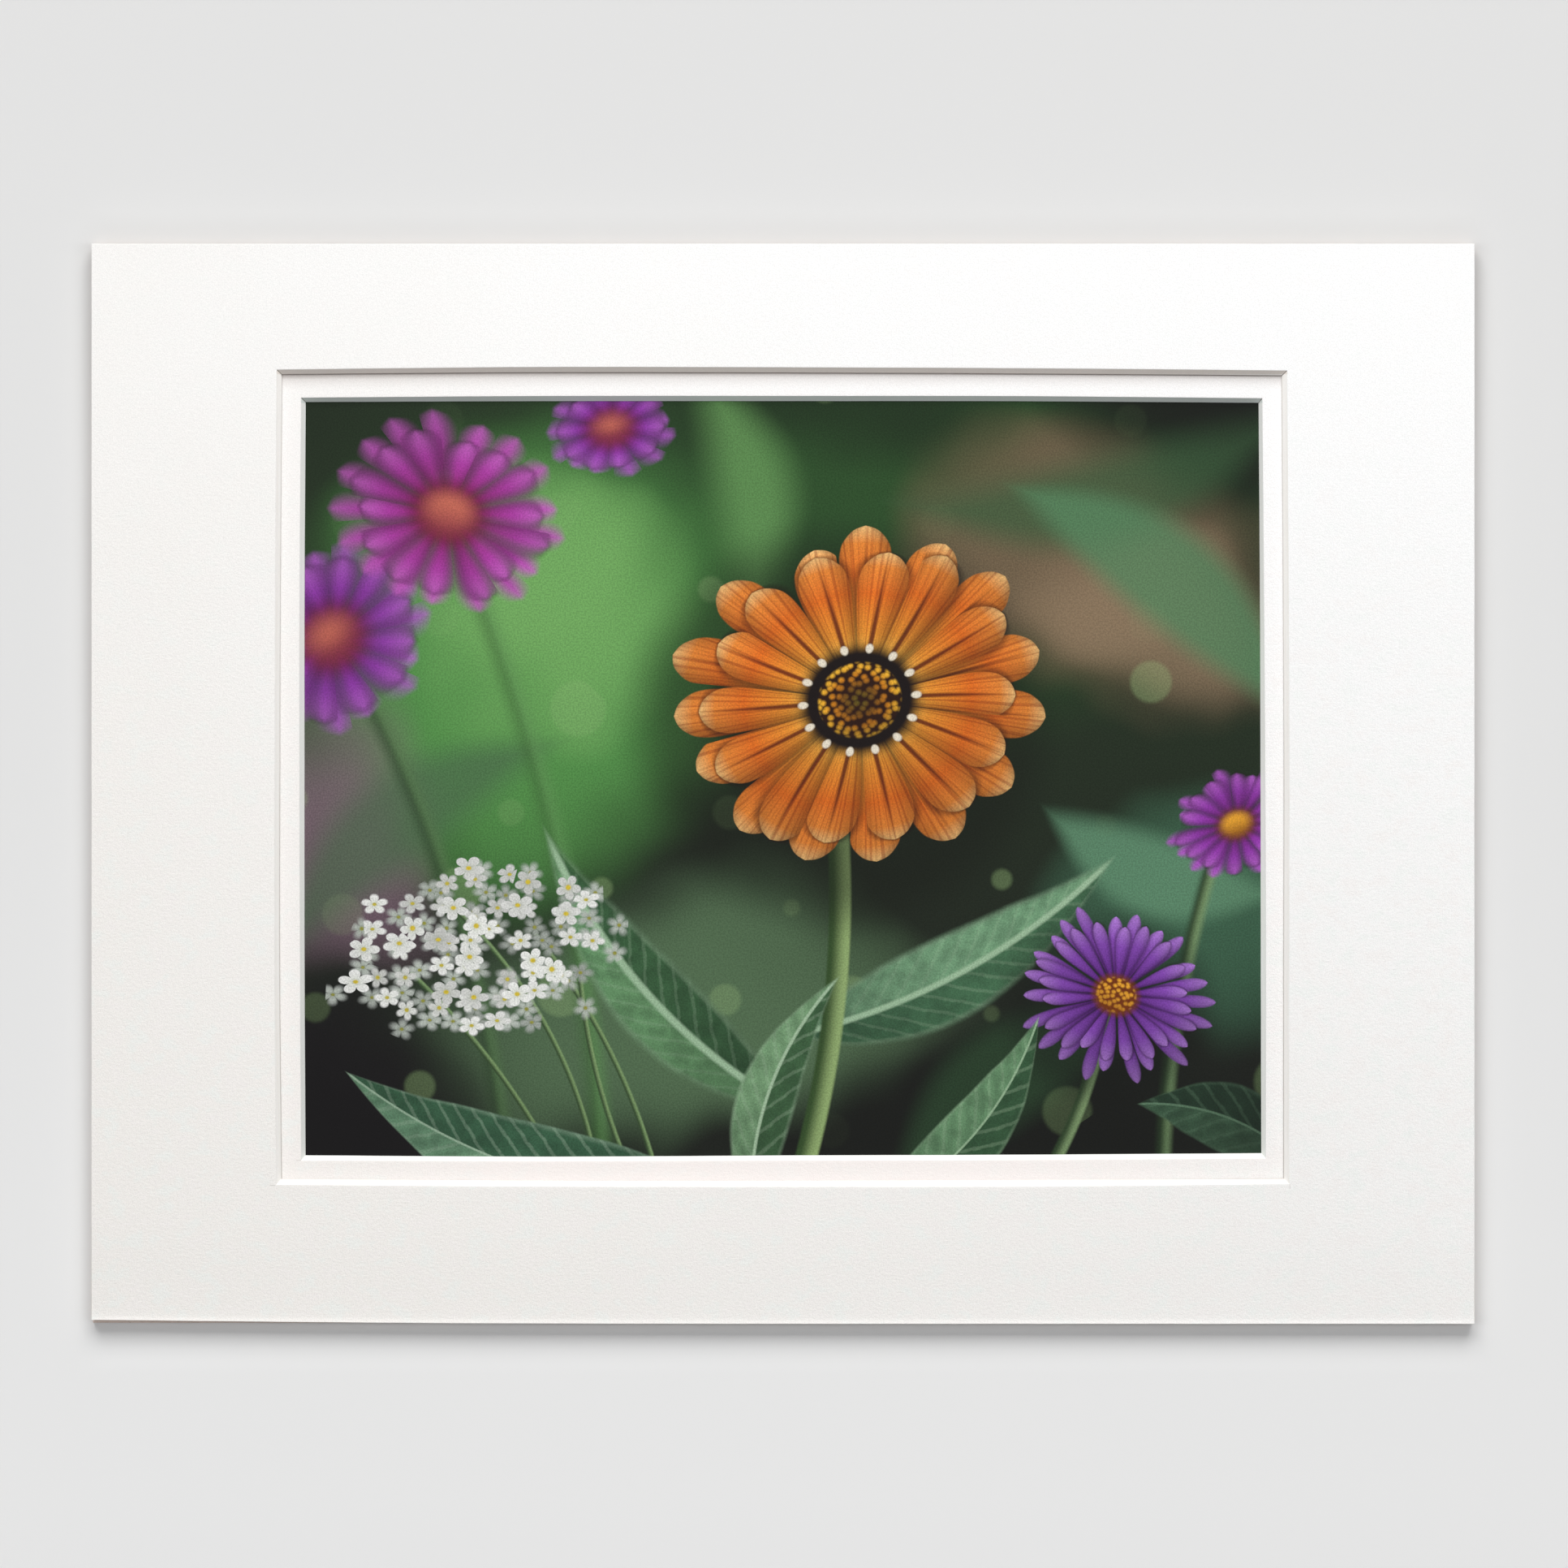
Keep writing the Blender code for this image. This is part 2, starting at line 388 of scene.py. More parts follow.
class Ink:
    """Writes a node tree in order, one short call a node."""

    def __init__(self, name):
        self.material = bpy.data.materials.new(name)
        self.material.use_nodes = True
        self.tree = self.material.node_tree
        self.nodes, self.links = self.tree.nodes, self.tree.links
        self.shader = self.nodes["Principled BSDF"]

    def put(self, socket, value):
        if isinstance(value, bpy.types.NodeSocket):
            self.links.new(value, socket)
        elif value is not None:
            socket.default_value = value

    def new(self, kind, **settings):
        node = self.nodes.new("ShaderNode" + kind)
        for key, value in settings.items():
            setattr(node, key, value)
        return node

    def math(self, op, a, b=None, c=None, clamp=False):
        node = self.new("Math", operation=op, use_clamp=clamp)
        for socket, value in zip(node.inputs, (a, b, c)):
            self.put(socket, value)
        return node.outputs[0]

    def vec(self, op, a, b=None, c=None, scale=None):
        node = self.new("VectorMath", operation=op)
        self.put(node.inputs[0], a)
        if b is not None:
            self.put(node.inputs[1], b)
        if c is not None:
            self.put(node.inputs[2], c)
        if scale is not None:
            self.put(node.inputs["Scale"], scale)
        return node.outputs["Value" if op in ("LENGTH", "DISTANCE", "DOT_PRODUCT") else "Vector"]

    def remap(self, value, low, high, to_low=0.0, to_high=1.0, kind="SMOOTHSTEP", clamp=False):
        node = self.new("MapRange", interpolation_type=kind, clamp=clamp)
        self.put(node.inputs["Value"], value)
        self.put(node.inputs["From Min"], low)
        self.put(node.inputs["From Max"], high)
        self.put(node.inputs["To Min"], to_low)
        self.put(node.inputs["To Max"], to_high)
        return node.outputs["Result"]

    def mix(self, factor, a, b, blend="MIX"):
        node = self.new("Mix", data_type="RGBA", blend_type=blend)
        self.put(node.inputs["Factor"], factor)
        self.put(node.inputs[6], a)
        self.put(node.inputs[7], b)
        return node.outputs[2]

    def ramp(self, value, stops, kind="LINEAR"):
        node = self.new("ValToRGB")
        node.color_ramp.interpolation = kind
        elements = node.color_ramp.elements
        while len(elements) < len(stops):
            elements.new(0.5)
        for element, (place, colour) in zip(elements, stops):
            element.position = place
            element.color = colour
        self.put(node.inputs[0], value)
        return node.outputs[0]

    def curve(self, value, points):
        node = self.new("FloatCurve")
        line = node.mapping.curves[0]
        line.points[0].location = points[0]
        line.points[1].location = points[-1]
        for x, y in points[1:-1]:
            line.points.new(x, y)
        node.mapping.update()
        self.put(node.inputs["Value"], value)
        return node.outputs[0]

    def noise(self, vector, scale, detail=2.0, rough=0.5, dims="3D", warp=0.0):
        node = self.new("TexNoise", noise_dimensions=dims)
        self.put(node.inputs["Vector"], vector)
        node.inputs["Scale"].default_value = scale
        node.inputs["Detail"].default_value = detail
        node.inputs["Roughness"].default_value = rough
        node.inputs["Distortion"].default_value = warp
        return node.outputs[0], node.outputs[1]

    def place(self, vector, at, turn=0.0, size=(1.0, 1.0)):
        """The vector as seen from a spot, turned by degrees, in units of size."""
        node = self.new("Mapping", vector_type="TEXTURE")
        self.put(node.inputs["Vector"], vector)
        node.inputs["Location"].default_value = (at[0], at[1], 0.0)
        node.inputs["Rotation"].default_value = (0.0, 0.0, math.radians(turn))
        node.inputs["Scale"].default_value = (size[0], size[1], 1.0)
        return node.outputs[0]

    def split(self, vector):
        node = self.new("SeparateXYZ")
        self.put(node.inputs[0], vector)
        return node.outputs[0], node.outputs[1], node.outputs[2]

    def join(self, x=0.0, y=0.0, z=0.0):
        node = self.new("CombineXYZ")
        for socket, value in zip(node.inputs, (x, y, z)):
            self.put(socket, value)
        return node.outputs[0]

    def here(self, at=(0.0, 0.0, 0.0), unit=MM):
        """Object coordinates from a point, in millimetres."""
        texco = self.new("TexCoord")
        node = self.new("Mapping", vector_type="TEXTURE")
        self.put(node.inputs["Vector"], texco.outputs["Object"])
        node.inputs["Location"].default_value = [c * MM for c in at]
        node.inputs["Scale"].default_value = (unit, unit, unit)
        return node.outputs[0]

    def stretch(self, vector, scale):
        node = self.new("Mapping", vector_type="POINT")
        self.put(node.inputs["Vector"], vector)
        node.inputs["Scale"].default_value = scale
        return node.outputs[0]

    def bump(self, height, strength, distance, under=None):
        node = self.new("Bump")
        node.inputs["Strength"].default_value = strength
        node.inputs["Distance"].default_value = distance
        self.put(node.inputs["Height"], height)
        if under is not None:
            self.put(node.inputs["Normal"], under)
        return node.outputs[0]


# ======================================================================================
# Paper and board materials
# ======================================================================================


def mat_face(name, colour, seed, ticks=(), shaded=None):
    """Vellum-finish face paper: short fibres lying mostly across the sheet, a sandy tooth and a faint
    cloudiness. ticks are the blade's small overcuts, as x, y, half length across and along. shaded is the
    height of the foot of a mat above: a painted shadow darkens the sheet below it, and painted bounce light brightens
    the lower strip."""
    ink = Ink(name)
    p = ink.here((seed * 31.0, seed * 17.0, 0.0))
    x, y, _ = ink.split(p)
    fibre_space = ink.stretch(p, (0.85, 1.5, 1.0))
    fibres, _ = ink.noise(fibre_space, 1.0, 3.0, 0.62, dims="2D")
    fine, _ = ink.noise(p, 3.0, 2.0, 0.75, dims="2D")
    cloud, _ = ink.noise(p, 0.028, 2.0, 0.5, dims="2D")
    fleck, _ = ink.noise(ink.stretch(p, (0.16, 0.22, 1.0)), 1.0, 2.0, 0.6, dims="2D")
    # the paper's own flecks, drawn stronger towards the bottom: partly the paper, partly painted shade darkening the
    # bottom
    flecks_and_shade = ink.remap(y, 110.0 - seed * 17.0, -60.0 - seed * 17.0, 0.12, 0.5)
    # painted shade: the sheet is drawn a little darker and warmer towards its lower left, where the light falls off
    painted_falloff = ink.math("MULTIPLY_ADD", x, 0.6, ink.math("MULTIPLY_ADD", y, 0.8, ink.math("MULTIPLY", cloud, 70.0)))
    shift = 0.6 * -seed * 31.0 + 0.8 * -seed * 17.0 + 35.0
    tone = ink.mix(
        ink.remap(painted_falloff, shift - 190.0, shift + 190.0),
        rgb(colour[0] - 4, colour[1] - 7, colour[2] - 11),
        rgb(*colour),
    )
    tone = ink.mix(ink.remap(fleck, 0.5, 0.72, 0.0, flecks_and_shade), tone, rgb(colour[0] - 3, colour[1] - 7, colour[2] - 9))
    tone = ink.mix(ink.remap(fleck, 0.5, 0.28, 0.0, flecks_and_shade), tone, rgb(colour[0] - 8, colour[1] - 4, colour[2] - 7))
    # painted shade: a little darker towards the lower left, where the light falls off
    painted_slant_shade = ink.math("MULTIPLY_ADD", y, -0.35, x)
    low = seed * (0.35 * 17.0 - 31.0)
    tone = ink.mix(ink.remap(painted_slant_shade, low - 230.0, low - 60.0, 0.963, 1.0), BLACK, tone)
    tone = ink.mix(ink.remap(fibres, 0.28, 0.70, 0.976, 1.0), BLACK, tone)
    tone = ink.mix(ink.remap(fine, 0.27, 0.73, 0.895, 1.0), BLACK, tone)
    for at_x, at_y, half_x, half_y in ticks:
        dx = ink.math("ABSOLUTE", ink.math("ADD", x, seed * 31.0 - at_x))
        dy = ink.math("ABSOLUTE", ink.math("ADD", y, seed * 17.0 - at_y))
        cut = ink.math("MULTIPLY", ink.remap(dx, half_x, half_x - 0.06), ink.remap(dy, half_y, half_y - 0.06, 0.0, 0.34))
        tone = ink.mix(cut, tone, rgb(168, 164, 158))
    if shaded:
        # painted shadow under the foot of the mat above, bowed along with it
        low = shaded - seed * 17.0
        across = ink.math("MULTIPLY_ADD", x, 1.0 / 130.0, seed * 31.0 / 130.0)
        bowed = ink.math("MULTIPLY_ADD", ink.math("MULTIPLY", across, across), 0.6, y)
        tone = ink.mix(ink.remap(bowed, low - 4.0, low + 0.5, 0.0, 0.33), tone, rgb(160, 146, 138))
        tone = ink.mix(ink.remap(bowed, low - 0.8, low + 0.5, 0.0, 0.4), tone, rgb(150, 136, 128))
        # painted bounce light: the lower strip is a little brighter and warmer
        low = -seed * 17.0
        warm = ink.math("MULTIPLY", ink.remap(y, low - 93.0, low - 97.0), ink.remap(ink.math("ABSOLUTE", across), 0.88, 0.45, 0.1, 0.5))
        tone = ink.mix(warm, tone, rgb(254, 244, 241))
    ink.put(ink.shader.inputs["Base Color"], tone)
    ink.put(ink.shader.inputs["Roughness"], ink.remap(fine, 0.3, 0.7, 0.78, 0.92))
    ink.shader.inputs["Specular IOR Level"].default_value = 0.25
    height = ink.math("MULTIPLY_ADD", fibres, 0.6, ink.math("MULTIPLY", fine, 0.4))
    height = ink.math("MULTIPLY", height, ink.remap(y, 120.0 - seed * 17.0, 50.0 - seed * 17.0, 0.9, 2.0))
    ink.put(ink.shader.inputs["Normal"], ink.bump(height, 0.32, 0.0002))
    return ink.material


def cut_core(name, colour, foot=None, top=None):
    """The board's core where the blade went through: fine plies, and drag lines along the cut. Near foot,
    the height of the bevel's lower end, a painted shadow darkens the last ply, most of all at the picture's
    top. top gives the height above which the upper side's cut takes a painted shade, and that shade's colour."""
    ink = Ink(name)
    p = ink.here()
    x, y, z = ink.split(p)
    plies, _ = ink.noise(ink.stretch(p, (0.05, 0.05, 7.0)), 1.0, 2.0, 0.6)
    drag, _ = ink.noise(ink.stretch(p, (0.22, 0.22, 3.0)), 1.0, 3.0, 0.65)
    tooth, _ = ink.noise(p, 2.6, 2.0, 0.6)
    tone = ink.mix(
        ink.remap(plies, 0.35, 0.65),
        rgb(colour[0] - 3, colour[1] - 4, colour[2] - 6),
        rgb(*colour),
    )
    if top:
        # painted shade on the upper side's cut, which faces away from the light
        low, painted_top_shade = top
        tone = ink.mix(ink.remap(y, low, low + 0.3), tone, rgb(*painted_top_shade))
    tone = ink.mix(ink.remap(drag, 0.3, 0.7, 0.982, 1.0), BLACK, tone)
    tone = ink.mix(ink.remap(tooth, 0.28, 0.72, 0.962, 1.0), BLACK, tone)
    if foot is not None:
        # painted shadow on the last ply at the bevel's foot: strongest along the top, weaker down the sides, none
        # along the bottom
        sides = ink.math("MULTIPLY", ink.remap(x, -70.0, 70.0, 0.28, 0.34), ink.remap(y, -102.2, -101.4))
        sides = ink.math("MULTIPLY", sides, ink.remap(y, 80.0, -100.0, 1.05, 1.75))
        painted_foot_shadow = ink.math("MAXIMUM", sides, ink.remap(y, 104.5, 105.1, 0.0, 0.86))
        painted_foot_shadow = ink.math("MULTIPLY", painted_foot_shadow, ink.remap(z, foot + 0.27, foot + 0.09))
        tone = ink.mix(painted_foot_shadow, tone, rgb(130, 114, 104))
    ink.put(ink.shader.inputs["Base Color"], tone)
    ink.shader.inputs["Roughness"].default_value = 0.93
    ink.shader.inputs["Specular IOR Level"].default_value = 0.18
    height = ink.math("MULTIPLY_ADD", drag, 0.6, ink.math("MULTIPLY", tooth, 0.4))
    ink.put(ink.shader.inputs["Normal"], ink.bump(height, 0.35, 0.00012))
    return ink.material


def tan_board(name, low, high):
    """Solid greyboard: pressed waste fibre, warm brown with paler and darker flecks."""
    ink = Ink(name)
    p = ink.here()
    cloud, _ = ink.noise(p, 0.05, 4.0, 0.55)
    fibre, _ = ink.noise(ink.stretch(p, (0.5, 1.1, 1.0)), 1.3, 4.0, 0.7, warp=0.6)
    fleck, _ = ink.noise(p, 1.9, 2.0, 0.5)
    tone = ink.ramp(
        cloud,
        [(0.3, rgb(*low)), (0.7, rgb(*high))],
    )
    grain = ink.remap(fibre, 0.3, 0.72, 0.84, 1.06, "LINEAR")
    tone = ink.mix(1.0, tone, ink.join(grain, grain, grain), "MULTIPLY")
    tone = ink.mix(ink.remap(fleck, 0.67, 0.76, 0.0, 0.55), tone, rgb(140, 118, 102))
    tone = ink.mix(ink.remap(fleck, 0.33, 0.25, 0.0, 0.5), tone, rgb(232, 221, 207))
    ink.put(ink.shader.inputs["Base Color"], tone)
    ink.shader.inputs["Roughness"].default_value = 0.92
    ink.shader.inputs["Specular IOR Level"].default_value = 0.2
    ink.put(ink.shader.inputs["Normal"], ink.bump(fibre, 0.4, 0.0002))
    return ink.material


def plain_paper(name, colour, roughness, stretch=(0.8, 0.8, 1.0), depth=0.0001):
    """Backing papers, tapes and hinges: a thin sheet with faint fibres."""
    ink = Ink(name)
    p = ink.here()
    fibre, _ = ink.noise(ink.stretch(p, stretch), 1.4, 4.0, 0.65, warp=0.4)
    cloud, _ = ink.noise(p, 0.09, 2.0, 0.5)
    tone = ink.mix(
        ink.remap(cloud, 0.3, 0.7),
        rgb(*[c - 5 for c in colour]),
        rgb(*colour),
    )
    grain = ink.remap(fibre, 0.3, 0.7, 0.93, 1.02, "LINEAR")
    tone = ink.mix(1.0, tone, ink.join(grain, grain, grain), "MULTIPLY")
    ink.put(ink.shader.inputs["Base Color"], tone)
    ink.put(
        ink.shader.inputs["Roughness"],
        ink.remap(fibre, 0.3, 0.7, roughness - 0.05, roughness + 0.05, "LINEAR"),
    )
    ink.put(ink.shader.inputs["Normal"], ink.bump(fibre, 0.3, depth))
    return ink.material


# ======================================================================================
# The picture on the print: a garden close-up, all of it drawn by nodes, in millimetres
# from the print's middle. Things are laid over each other from the back to the front.
# Textures read the mapped point itself and the rest is plain arithmetic on x and y.
# ======================================================================================

PRINT_CENTRE = (-0.24, 1.57)


def local(ink, at, turn, size, x=None, y=None):
    """x and y as seen from a spot, turned by degrees, in units of size."""
    x, y = (ink.x, ink.y) if x is None else (x, y)
    c, s = math.cos(math.radians(turn)), math.sin(math.radians(turn))
    if not turn:
        return (
            ink.math("MULTIPLY_ADD", x, 1.0 / size[0], -at[0] / size[0]),
            ink.math("MULTIPLY_ADD", y, 1.0 / size[1], -at[1] / size[1]),
        )
    u = ink.math("MULTIPLY_ADD", y, s / size[0], -(at[0] * c + at[1] * s) / size[0])
    v = ink.math("MULTIPLY_ADD", y, c / size[1], (at[0] * s - at[1] * c) / size[1])
    return (
        ink.math("MULTIPLY_ADD", x, c / size[0], u),
        ink.math("MULTIPLY_ADD", x, -s / size[1], v),
    )


def square(ink, u, v):
    return ink.math("MULTIPLY_ADD", u, u, ink.math("MULTIPLY", v, v))


def dim(ink, tone, by):
    return ink.mix(by, BLACK, tone)


def spot(ink, under, at, size, turn, colour, opacity, inner=0.0, x=None, y=None):
    """A soft ellipse."""
    d = square(ink, *local(ink, at, turn, size, x, y))
    return ink.mix(ink.remap(d, 1.0, inner, 0.0, opacity), under, colour)


def heading(a, b):
    dx, dy = b[0] - a[0], b[1] - a[1]
    return math.hypot(dx, dy), math.degrees(math.atan2(dy, dx))


def along(ink, a, b, bend):
    """x from 0 to 1 along a bowed line from a to b, its x(1 - x), y off it in the same unit, and its length."""
    length, turn = heading(a, b)
    x, y = local(ink, a, turn, (length, length))
    t = ink.math("SUBTRACT", x, ink.math("MULTIPLY", x, x))
    return x, t, ink.math("MULTIPLY_ADD", t, -4.0 * bend, y), length


LEAF_SHAPE = [(0.0, 0.0), (0.06, 0.34), (0.2, 0.78), (0.4, 1.0), (0.62, 0.84), (0.82, 0.44), (1.0, 0.0)]


def leaf(ink, under, base, tip, width, bend, soft, low, high, rib, veins=0.0, opacity=1.0):
    """A lance leaf from base to tip. bend bows its midrib (in leaf lengths), low and high are the colours
    of its two halves, rib that of its midrib, veins the strength of its side veins."""
    x, _, y, length = along(ink, base, tip, bend)
    far = ink.math("MULTIPLY", ink.math("ABSOLUTE", y), length)
    half = ink.math("MULTIPLY", ink.curve(x, LEAF_SHAPE), width / 2)
    crease = max(soft * 0.8, 0.35)
    tone = ink.mix(ink.remap(y, -crease / length, crease / length), low, high)
    if veins:
        run = ink.math("MULTIPLY_ADD", far, -1.35, ink.math("MULTIPLY", x, length * 1.0))
        ridge = ink.math("SINE", ink.math("MULTIPLY_ADD", ink.mottle, 2.2, run))
        tone = ink.mix(ink.remap(ridge, 0.55, 1.0, 0.0, veins), tone, rib)
        tone = ink.mix(ink.remap(ridge, -0.1, -1.0, 0.0, veins * 0.7), tone, low)
        rim = ink.remap(ink.math("DIVIDE", far, half), 0.86, 1.0, 0.0, 0.3)
        tone = ink.mix(rim, tone, rib)
    tone = dim(ink, tone, ink.remap(ink.mottle, 0.28, 0.7, 0.74, 1.0))
    tone = dim(ink, tone, ink.remap(x, 0.0, 0.55, 0.62, 1.0))
    middle = max(soft * 0.9, 0.42)
    tone = ink.mix(ink.remap(far, middle, middle * 0.25, 0.0, 0.85), tone, rib)
    mask = ink.remap(ink.math("SUBTRACT", half, far), -soft, soft, 0.0, opacity)
    return ink.mix(mask, under, tone)


def far_leaf(ink, under, base, tip, width, bend, soft, colour, opacity=0.9):
    """A leaf far out of focus."""
    _, t, y, length = along(ink, base, tip, bend)
    edge = ink.math("MULTIPLY_ADD", t, 2.0 * width / length, ink.math("MULTIPLY", ink.math("ABSOLUTE", y), -1.0))
    return ink.mix(ink.remap(edge, -soft / length, soft / length, 0.0, opacity), under, colour)


def stalk(ink, under, a, b, width, bend, soft, dark, light, opacity=1.0):
    """A stem of even width, lit on one side."""
    _, t, y, length = along(ink, a, b, bend)
    side = ink.math("MULTIPLY", y, 2.0 * length / width)
    edge = ink.math("SUBTRACT", 1.0, ink.math("ABSOLUTE", side))
    s = 2.0 * soft / width
    mask = ink.math("MULTIPLY", ink.remap(edge, -s, s, 0.0, opacity), ink.remap(t, 0.0, 0.006))
    tone = ink.mix(ink.remap(side, -0.75, 0.8), dark, light)
    return ink.mix(mask, under, tone)


DAISY = [(0.0, 0.5), (0.5, 0.5), (0.7, 0.485), (0.85, 0.42), (0.94, 0.28), (1.0, 0.0)]
ASTER = [(0.0, 0.25), (0.3, 0.34), (0.6, 0.42), (0.82, 0.37), (0.94, 0.22), (1.0, 0.0)]


def ring_of_petals(
    ink, under, r, turns, size, count, phase, reach, soft, shape, stops, seed,
    uneven=0.1, sway=0.1, hollow=0.35, cast=0.0, stripe=None, streaks=None, thin=0.0, lit=None,
):
    """One ring of petals round a flower's middle, over what is under it. r is the distance from the middle
    in flower radii, turns the angle; reach is the ring's radius, stops the colours from middle to tip."""
    sector = 2.0 * math.pi / count
    q = ink.math("MULTIPLY_ADD", turns, 1.0 / sector, phase)
    number = ink.math("ROUND", q)
    own = ink.new("TexWhiteNoise", noise_dimensions="1D")
    ink.put(own.inputs["W"], ink.math("MULTIPLY_ADD", ink.math("FLOORED_MODULO", number, float(count)), 1.37, seed))
    chance = own.outputs["Value"]
    rr = ink.math("DIVIDE", r, ink.math("MULTIPLY_ADD", chance, -uneven * reach, reach))
    lean = ink.math("MULTIPLY_ADD", chance, 2.0 * sway, -sway)
    f = ink.math("MULTIPLY_ADD", lean, rr, ink.math("SUBTRACT", q, number))
    side = ink.math("ABSOLUTE", f)
    half = ink.curve(rr, shape)
    if thin:
        half = ink.math("MULTIPLY", half, ink.math("MULTIPLY_ADD", chance, thin, 1.0 - thin))
    edge = ink.math("MULTIPLY", ink.math("SUBTRACT", half, side), ink.math("MULTIPLY", rr, sector * size * reach))
    if cast:
        under = ink.mix(ink.remap(edge, -cast, 0.3, 0.0, 0.62), under, rgb(24, 8, 6))
    tone = ink.ramp(rr, stops)
    if stripe:
        reach_of_stripe, width_of_stripe, colour, strength = stripe
        band = ink.math("MULTIPLY_ADD", rr, -width_of_stripe / reach_of_stripe, width_of_stripe)
        tone = ink.mix(ink.remap(ink.math("SUBTRACT", band, side), -0.035, 0.05, 0.0, strength), tone, colour)
    if streaks:
        strength, colour = streaks
        fine = ink.new("TexNoise", noise_dimensions="1D")
        ink.put(fine.inputs["W"], ink.math("MULTIPLY_ADD", f, 17.0, ink.math("MULTIPLY", chance, 91.0)))
        fine.inputs["Scale"].default_value = 1.0
        fine.inputs["Detail"].default_value = 2.0
        tone = ink.mix(ink.remap(fine.outputs[0], 0.42, 0.72, 0.0, strength), tone, colour)
    # hollow across, so the rims are in shade, and every petal is lit a little differently
    shade = ink.remap(ink.math("DIVIDE", side, half), 0.25, 1.05, 1.0, 1.0 - hollow)
    shade = ink.math("MULTIPLY", shade, ink.math("MULTIPLY_ADD", chance, 0.24, 0.80))
    if lit:
        tilt, fall = lit
        shade = ink.math("MULTIPLY", shade, fall)
        shade = ink.math("MULTIPLY", shade, ink.math("MULTIPLY_ADD", ink.math("MULTIPLY", tilt, f), 0.75, 1.0))
    tone = dim(ink, tone, shade)
    return ink.mix(ink.remap(edge, -soft, soft), under, tone)


def light_on(ink, y, turns, turn, low=0.7):
    """How the light from the upper left falls on a flower's petals: along them, and across the flower."""
    tilt = ink.math("SINE", ink.math("MULTIPLY_ADD", turns, -1.0, math.radians(128.0 - turn)))
    return tilt, ink.remap(y, -1.0, 0.9, low, 1.0, "LINEAR")


def flower(ink, at, size, squash, turn):
    x, y = local(ink, at, turn, (size, size * squash))
    return x, y, ink.math("SQRT", square(ink, x, y)), ink.math("ARCTAN2", y, x)


def beads(ink, at, size, squash, turn, scale):
    """Tight round cells in a flower's eye: the distance from each one's middle."""
    cells = ink.new("TexVoronoi", voronoi_dimensions="2D", feature="F1")
    ink.put(cells.inputs["Vector"], ink.place(ink.flat, at, turn, (size, size * squash)))
    cells.inputs["Scale"].default_value = scale
    return cells.outputs["Distance"]


def aster(ink, under, at, size, squash, turn, count, soft, stops, eye, seed):
    """A small garden aster: two rings of narrow petals round a yellow eye."""
    x, y, r, turns = flower(ink, at, size, squash, turn)
    lit = light_on(ink, y, turns, turn) if soft < 1.0 else None
    under = ring_of_petals(
        ink, under, r, turns, size, count, 0.0, 1.0, soft, ASTER, stops, seed,
        uneven=0.18, sway=0.26, hollow=0.35 if soft < 1.0 else 0.12, thin=0.22, lit=lit,
    )
    under = ring_of_petals(
        ink, under, r, turns, size, count - 3, 0.37, 0.86, soft, ASTER, stops, seed + 50.0,
        uneven=0.2, sway=0.26, hollow=0.3 if soft < 1.0 else 0.12, cast=soft * 1.4 + 1.0, thin=0.22, lit=lit,
    )
    s = max(soft / size, 0.02)
    dark, bright = eye
    under = ink.mix(ink.remap(r, 0.24 + s * 1.4, 0.2, 0.0, 0.75), under, dark)
    if soft < 1.0:
        tone = ink.mix(ink.remap(beads(ink, at, size, squash, turn, 19.0), 0.15, 0.6), bright, dark)
        tone = ink.mix(ink.remap(y, 0.16, -0.2, 0.0, 0.55), tone, dark)
    else:
        tone = ink.mix(ink.remap(y, 0.16, -0.2, 0.0, 0.75), bright, dark)
    return ink.mix(ink.remap(r, 0.19 + s, 0.19 - s), under, tone)


def florets(ink, under, cell, seed, at, size, turn, reach, petals, soft, stops, eye, density=1.0, jitter=0.75):
    """Many small flowers: one in each cell of a loose grid, kept where the ellipse at, size, turn allows."""
    ox, oy = seed * 37.0, seed * 23.0
    grid = ink.new("TexVoronoi", voronoi_dimensions="2D", feature="F1")
    ink.put(grid.inputs["Vector"], ink.place(ink.flat, (-ox, -oy), 0.0, (cell, cell)))
    grid.inputs["Scale"].default_value = 1.0
    grid.inputs["Randomness"].default_value = jitter
    own, own2, own3 = ink.split(grid.outputs["Color"])
    mx, my, _ = ink.split(grid.outputs["Position"])
    middle = ((at[0] + ox) / cell, (at[1] + oy) / cell)
    inside = square(ink, *local(ink, middle, turn, (size[0] / cell, size[1] / cell), mx, my))
    keep = ink.math("LESS_THAN", ink.math("MULTIPLY_ADD", own3, 0.5, inside), density)
    x, y = local(ink, (-ox, -oy), 0.0, (cell, cell))
    x, y = ink.math("SUBTRACT", x, mx), ink.math("SUBTRACT", y, my)
    y = ink.math("MULTIPLY", y, ink.math("MULTIPLY_ADD", own2, 0.45, 1.0))
    turns = ink.math("MULTIPLY_ADD", own, 6.283, ink.math("ARCTAN2", y, x))
    r = ink.math("MULTIPLY", ink.math("SQRT", square(ink, x, y)), cell)
    lobes = ink.math("ABSOLUTE", ink.math("COSINE", ink.math("MULTIPLY", turns, petals / 2.0)))
    lobes = ink.math("POWER", lobes, 0.55)
    big = ink.math("MULTIPLY_ADD", own2, 0.3 * reach, 0.7 * reach)
    rim = ink.math("MULTIPLY", big, ink.math("MULTIPLY_ADD", lobes, 0.68, 0.32))
    mask = ink.math("MULTIPLY", ink.remap(ink.math("SUBTRACT", rim, r), -soft, soft), keep)
    tone = ink.ramp(ink.math("DIVIDE", r, reach), stops)
    tone = dim(ink, tone, ink.math("MULTIPLY_ADD", own3, -0.38, 1.0))
    tone = ink.mix(ink.remap(r, reach * 0.2, reach * 0.1), tone, eye)
    return ink.mix(mask, under, tone)


